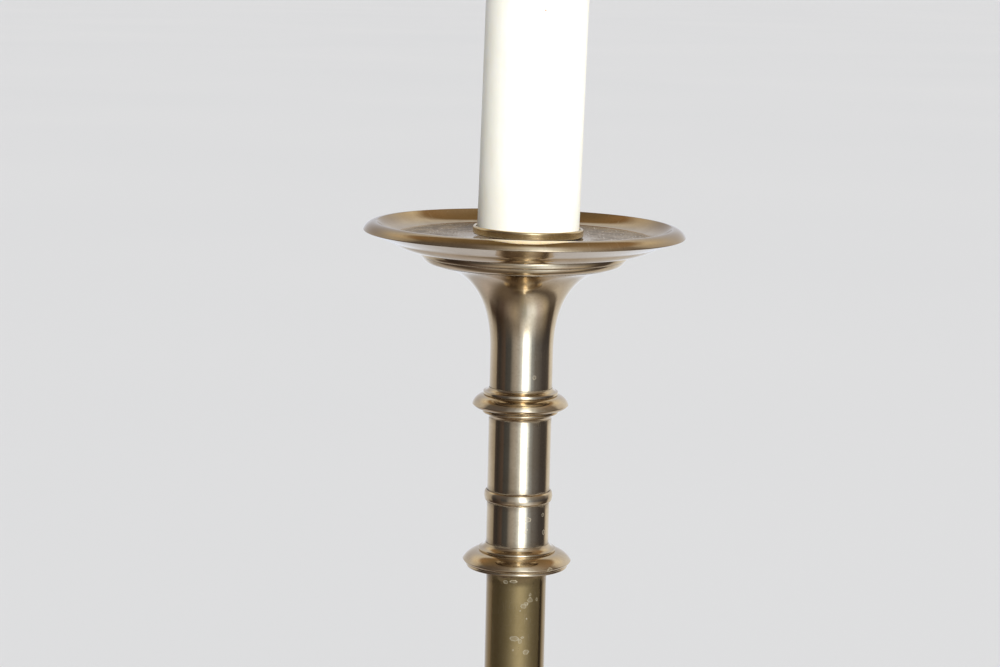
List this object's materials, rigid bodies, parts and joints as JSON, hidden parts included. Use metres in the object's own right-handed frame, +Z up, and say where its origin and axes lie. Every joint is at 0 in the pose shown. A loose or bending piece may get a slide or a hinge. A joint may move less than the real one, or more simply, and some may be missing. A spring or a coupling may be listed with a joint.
{
  "type": "pricket candlestick",
  "caption": "Turned brass pricket candlestick with a round drip pan, a banded stem and a domed base, holding one thick ivory candle that lifts off.",
  "frame": {"origin": "centre of the felt underside, on the surface that the candlestick stands on", "axes": "+Z up along the stem; the candle leans about 1 degree towards +X; the picture looks along +Y"},
  "size_m": [0.204, 0.204, 0.8515],
  "materials": {
    "polished_brass": "polished, pale and slightly tarnished",
    "plain_brass": "machined",
    "lacquered_brass": "dull lacquer over satin brass",
    "bright_steel": "zinc plated",
    "cast_iron": "as cast",
    "ivory_wax": "smooth waxy sheen",
    "cotton_wick": "braided cotton",
    "green_felt": "pressed felt"
  },
  "bodies": {
    "stand": {"drip_pan": "polished_brass", "pan_collar": "polished_brass", "trumpet_neck": "polished_brass", "upper_knop": "polished_brass", "upper_sleeve": "polished_brass", "bead_ring": "polished_brass", "lower_sleeve": "polished_brass", "skirt_collar": "polished_brass", "centre_collar_top": "polished_brass", "centre_knop": "polished_brass", "centre_collar_bottom": "polished_brass", "base_skirt_collar": "polished_brass", "base_sleeve": "polished_brass", "base_bead_ring": "polished_brass", "base_neck": "polished_brass", "base_dome": "polished_brass", "pricket_spike": "plain_brass", "upper_bush": "plain_brass", "lower_bush": "plain_brass", "upper_shaft": "lacquered_brass", "lower_shaft": "lacquered_brass", "tie_rod": "bright_steel", "rod_coupling": "bright_steel", "base_washer": "bright_steel", "base_nut": "bright_steel", "base_plate": "bright_steel", "base_weight": "cast_iron", "felt_pad": "green_felt"},
    "cup": {"candle_cup": "polished_brass"},
    "candle": {"candle": "ivory_wax", "candle_wick": "cotton_wick"}
  },
  "joints": [
    {"name": "cup_lift", "type": "slide", "parent": "stand", "child": "cup", "axis": [0, 0, 1], "range_m": [0, 0.06]},
    {"name": "candle_lift", "type": "slide", "parent": "cup", "child": "candle", "axis": [0, 0, 1], "range_m": [0, 0.06]}
  ]
}
